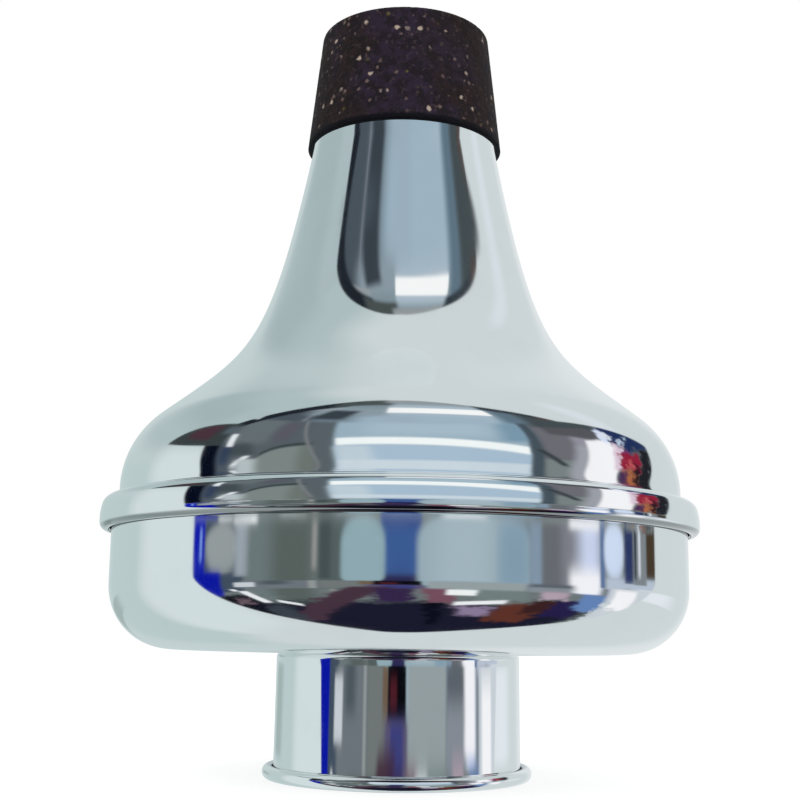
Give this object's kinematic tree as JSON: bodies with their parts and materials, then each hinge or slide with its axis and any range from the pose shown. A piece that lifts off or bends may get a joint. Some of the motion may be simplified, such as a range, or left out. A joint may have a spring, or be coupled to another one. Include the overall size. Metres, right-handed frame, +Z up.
{
  "type": "trombone mute",
  "caption": "Polished wah-wah mute: a flared, hollow spun-metal body with a tapered cork collar on its neck and a sliding stem that ends in a rimmed cup.",
  "frame": {"origin": "on the axis, at the level of the stem cup's rim, which the mute stands on with the stem pushed in", "axes": "+Z up the axis, from the stem cup towards the cork collar; the part is a body of revolution, so X and Y are free, and the picture looks along +Y"},
  "size_m": [0.1494, 0.1494, 0.1931],
  "materials": {
    "polished_aluminium": "mirror polished, spun",
    "dark_cork": "matt dark rubber-bonded cork with pale specks",
    "pale_cork": "matt natural cork"
  },
  "bodies": {
    "stem": {"stem_cup": "polished_aluminium", "stem_tube": "polished_aluminium"},
    "body": {"lower_shell": "polished_aluminium", "stem_guide": "polished_aluminium", "guide_cork": "pale_cork", "upper_shell": "polished_aluminium", "neck_cork": "dark_cork"}
  },
  "joints": [
    {"name": "stem_slide", "type": "slide", "parent": "stem", "child": "body", "axis": [0, 0, 1], "range_m": [0, 0.1]}
  ]
}
